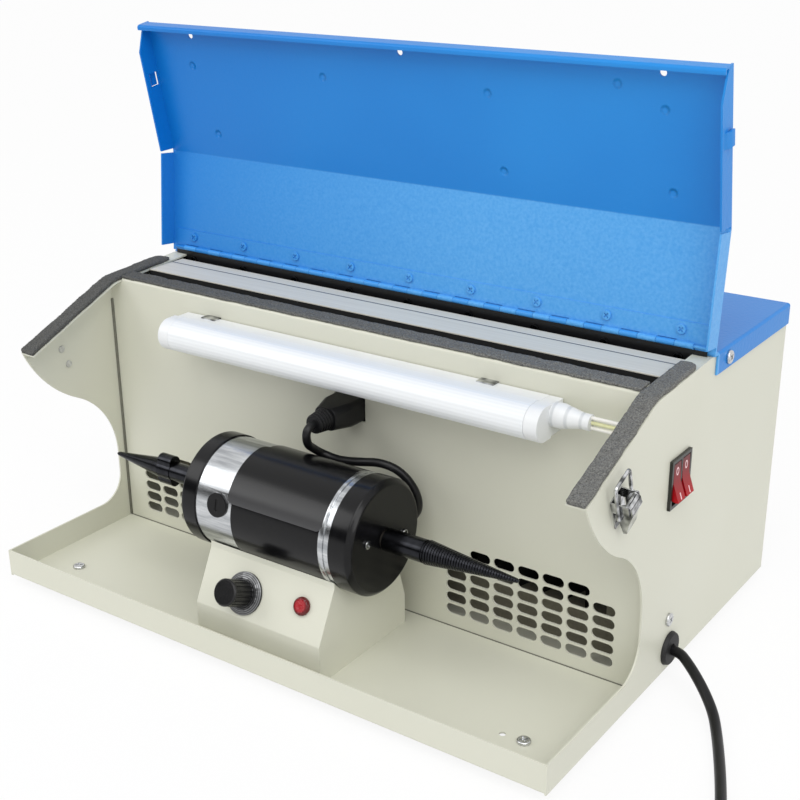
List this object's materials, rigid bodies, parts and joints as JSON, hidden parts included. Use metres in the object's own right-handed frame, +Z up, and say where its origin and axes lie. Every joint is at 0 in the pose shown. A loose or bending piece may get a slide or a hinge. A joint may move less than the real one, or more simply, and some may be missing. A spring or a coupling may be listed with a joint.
{
  "type": "polishing machine with dust collector",
  "caption": "Bench polishing cabinet with double-ended motor, taper spindles, batten lamp, slotted suction panel with filter and fan, and a folding hood on a piano hinge.",
  "frame": {"origin": "on the bench under the middle of the machine, at the feet's underside", "axes": "+Z up, -Y towards the user, +X to the user's right along the motor shaft"},
  "size_m": [0.6338, 0.4146, 0.3695],
  "materials": {
    "cabinet_paint": "smooth satin paint",
    "blue_paint": "fine orange-peel powder coat",
    "dark_steel": "matt black paint",
    "steel": "bright zinc",
    "foam": "open grey foam",
    "filter_aluminium": "mill finish",
    "filter_paper": "pleated medium",
    "black_rubber": "matt",
    "white_plastic": "satin",
    "lamp_white": "opal",
    "clip_steel": "bright",
    "lead_sheath": "white and yellow-green cores",
    "black_plastic": "satin black",
    "red_plastic": "translucent red",
    "latch_chrome": "polished",
    "pedestal_plastic": "light beige",
    "board": "circuit board and control body",
    "motor_aluminium": "polished",
    "motor_black": "satin black",
    "motor_steel": "laminations and shaft",
    "spindle_steel": "polished dark steel"
  },
  "bodies": {
    "cabinet": {"base_tray": "cabinet_paint", "brush_caps": "black_plastic", "cabinet_screws": "steel", "coil_tie": "black_plastic", "cord_grommet": "black_rubber", "end_cap_screws": "latch_chrome", "fan_frame": "black_plastic", "filter_frame": "filter_aluminium", "filter_medium": "filter_paper", "fixed_hinge_leaf": "steel", "foam_seal_inner": "foam", "foam_seal_left": "foam", "foam_seal_right": "foam", "hinge_pin": "steel", "hinge_rail": "dark_steel", "inner_panel": "cabinet_paint", "lamp_channel": "white_plastic", "lamp_clips": "clip_steel", "lamp_connector": "white_plastic", "lamp_diffuser": "lamp_white", "lamp_end_caps": "white_plastic", "lamp_lead": "lead_sheath", "latch_bases": "latch_chrome", "latch_rivets": "latch_chrome", "left_end_cap": "motor_black", "left_side_panel": "cabinet_paint", "mains_cord": "black_rubber", "mains_cord_coil": "black_rubber", "mains_plug": "black_plastic", "motor_bearings": "motor_steel", "motor_cord": "black_rubber", "motor_outlet": "black_plastic", "motor_pedestal": "pedestal_plastic", "motor_plug": "black_plastic", "motor_sleeve": "motor_black", "motor_stator": "motor_steel", "motor_tube": "motor_aluminium", "pedestal_gland": "black_rubber", "pilot_lamp": "red_plastic", "rear_panel": "cabinet_paint", "rear_top_cover": "blue_paint", "right_end_cap": "motor_black", "right_side_panel": "cabinet_paint", "rubber_feet": "black_rubber", "speed_control": "board", "switch_frame": "black_plastic"},
    "hood": {"hood": "blue_paint", "hood_hinge_leaf": "blue_paint", "hood_leaf_screws": "blue_paint"},
    "rotor": {"armature": "motor_steel", "left_spindle": "spindle_steel", "right_spindle": "spindle_steel"},
    "speed_knob": {"speed_knob": "black_plastic"},
    "front_rocker": {"front_rocker": "red_plastic"},
    "rear_rocker": {"rear_rocker": "red_plastic"},
    "left_latch_lever": {"left_latch_lever": "latch_chrome"},
    "right_latch_lever": {"right_latch_lever": "latch_chrome"},
    "left_latch_bail": {"left_latch_bail": "latch_chrome"},
    "right_latch_bail": {"right_latch_bail": "latch_chrome"},
    "fan_impeller": {"fan_impeller": "black_plastic"}
  },
  "joints": [
    {"name": "hood_hinge", "type": "hinge", "parent": "cabinet", "child": "hood", "pos_m": [0, 0.02826, 0.2064], "axis": [1, 0, 0], "range_deg": [0, 101.3]},
    {"name": "motor_spin", "type": "hinge", "parent": "cabinet", "child": "rotor", "pos_m": [0, -0.09503, 0.09401], "axis": [1, 0, 0], "continuous": true},
    {"name": "speed_knob_turn", "type": "hinge", "parent": "cabinet", "child": "speed_knob", "pos_m": [-0.0119, -0.13367, 0.04875], "axis": [0, -0.8933, 0.4495], "range_deg": [-300, 0]},
    {"name": "front_rocker_tilt", "type": "hinge", "parent": "cabinet", "child": "front_rocker", "pos_m": [0.212, -0.00754, 0.1381], "axis": [0, 1, 0], "range_deg": [0, 20]},
    {"name": "rear_rocker_tilt", "type": "hinge", "parent": "cabinet", "child": "rear_rocker", "pos_m": [0.212, -0.00754, 0.1381], "axis": [0, 1, 0], "range_deg": [0, 20]},
    {"name": "left_latch_lever_turn", "type": "hinge", "parent": "cabinet", "child": "left_latch_lever", "pos_m": [-0.223, -0.08881, 0.15705], "axis": [0, 0.9251, 0.3796], "range_deg": [0, 75]},
    {"name": "left_latch_bail_turn", "type": "hinge", "parent": "left_latch_lever", "child": "left_latch_bail", "pos_m": [-0.2196, -0.08615, 0.15057], "axis": [0, -0.9251, -0.3796], "range_deg": [0, 90]},
    {"name": "right_latch_lever_turn", "type": "hinge", "parent": "cabinet", "child": "right_latch_lever", "pos_m": [0.223, -0.08881, 0.15705], "axis": [0, -0.9251, -0.3796], "range_deg": [0, 75]},
    {"name": "right_latch_bail_turn", "type": "hinge", "parent": "right_latch_lever", "child": "right_latch_bail", "pos_m": [0.2196, -0.08615, 0.15057], "axis": [0, 0.9251, 0.3796], "range_deg": [0, 90]},
    {"name": "fan_spin", "type": "hinge", "parent": "cabinet", "child": "fan_impeller", "pos_m": [0, 0.13626, 0.108], "axis": [0, 1, 0], "continuous": true}
  ],
  "couplings": [
    {"joint": "left_latch_bail_turn", "follows": "left_latch_lever_turn", "ratio": 1.2},
    {"joint": "right_latch_bail_turn", "follows": "right_latch_lever_turn", "ratio": 1.2}
  ]
}
